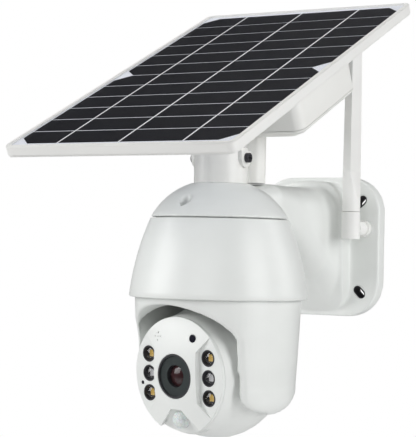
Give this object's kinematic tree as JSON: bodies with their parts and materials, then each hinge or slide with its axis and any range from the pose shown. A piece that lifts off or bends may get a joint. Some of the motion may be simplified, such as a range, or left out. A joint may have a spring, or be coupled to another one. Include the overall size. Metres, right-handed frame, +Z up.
{
  "type": "solar security camera",
  "caption": "Wall-mounted pan and tilt security camera with a tilted solar panel, a battery box and a swivelling antenna.",
  "frame": {"origin": "centre of the wall plate's back face, on the wall's surface", "axes": "+Y into the wall, +Z up, the camera and the panel's low edge towards -Y"},
  "size_m": [0.166, 0.282, 0.3003],
  "materials": {
    "shell": "semi-gloss moulded",
    "cover": "matte moulded",
    "white_plastic": "semi-gloss moulded",
    "antenna_plastic": "satin moulded",
    "panel_rim": "satin moulded",
    "backsheet": "smooth laminate",
    "cells": "coated silicon",
    "ribbon": "tinned ribbon",
    "panel_glass": "clear",
    "steel": "plated",
    "black_screws": "black oxide",
    "black_plastic": "matte moulded",
    "nylon": "natural nylon",
    "bronze": "sintered bronze",
    "board": "solder mask",
    "jack": "gold plated",
    "window_ring": "printed glass border",
    "window_glass": "clear",
    "lens_glass": "coated lens",
    "lamp_glass": "clear moulded",
    "sensor_chip": "silicon",
    "warm_emitter": "phosphor",
    "infrared_emitter": "clear resin",
    "motion_lens": "milky",
    "dark_window": "smoked",
    "battery_wrap": "shrink wrap"
  },
  "bodies": {
    "mount": {"bracket": "shell", "back_cover": "cover", "cover_screws": "steel", "hood": "shell", "hood_screws": "black_screws", "neck": "white_plastic", "neck_collar": "white_plastic", "neck_screws": "steel", "pivot_screws": "black_screws", "rear_leg": "white_plastic", "drive_deck": "black_plastic", "deck_screws": "steel", "pan_bush": "bronze", "pan_motor": "steel", "main_board": "board", "antenna_jack": "jack"},
    "pinion": {"pan_pinion": "nylon"},
    "pan": {"pan_housing": "shell", "pan_hub": "nylon", "hub_screws": "steel", "pan_gear": "nylon", "hub_ring": "steel", "tilt_shaft": "steel", "idler_pin": "steel"},
    "head": {"head_shell": "shell", "face_plate": "shell", "face_screws": "steel", "lens_barrel": "black_plastic", "window_ring": "window_ring", "front_window": "window_glass", "lens": "lens_glass", "sensor_board": "board", "image_sensor": "sensor_chip", "lamp_cups": "black_plastic", "lamp_lenses": "lamp_glass", "warm_emitters": "warm_emitter", "infrared_emitters": "infrared_emitter", "lamp_board": "board", "motion_lens": "motion_lens", "motion_sensor": "steel", "light_sensor": "dark_window", "microphone": "steel", "indicator": "dark_window", "speaker": "black_plastic", "tilt_motor": "steel", "idler_bush": "bronze"},
    "panel": {"panel_frame": "panel_rim", "backsheet": "backsheet", "solar_cells": "cells", "busbars": "ribbon", "panel_glass": "panel_glass", "panel_bracket": "white_plastic", "battery_box": "white_plastic", "battery_lid": "white_plastic", "lid_screws": "steel", "battery_cells": "battery_wrap", "charge_board": "board"},
    "antenna": {"antenna_collar": "antenna_plastic", "antenna_base": "antenna_plastic", "antenna_blade": "antenna_plastic"}
  },
  "joints": [
    {"name": "pan_turn", "type": "hinge", "parent": "mount", "child": "pan", "pos_m": [0, -0.155, -0.08], "axis": [0, 0, 1], "range_deg": [-166.5, 188.5]},
    {"name": "pinion_spin", "type": "hinge", "parent": "mount", "child": "pinion", "pos_m": [-0.03182, -0.15166, -0.02], "axis": [0, 0, 1], "range_deg": [-570, 505]},
    {"name": "head_tilt", "type": "hinge", "parent": "pan", "child": "head", "pos_m": [0, -0.155, -0.0832], "axis": [0.9816, -0.1908, 0], "range_deg": [-19, 86]},
    {"name": "panel_tilt", "type": "hinge", "parent": "mount", "child": "panel", "pos_m": [0, -0.155, 0.0569], "axis": [1, 0, 0], "range_deg": [0, 20]},
    {"name": "antenna_swing", "type": "hinge", "parent": "mount", "child": "antenna", "pos_m": [0.037, -0.0328, 0.0135], "axis": [0, 1, 0], "range_deg": [-12, 90]}
  ],
  "couplings": [
    {"joint": "pinion_spin", "follows": "pan_turn", "ratio": -3}
  ]
}
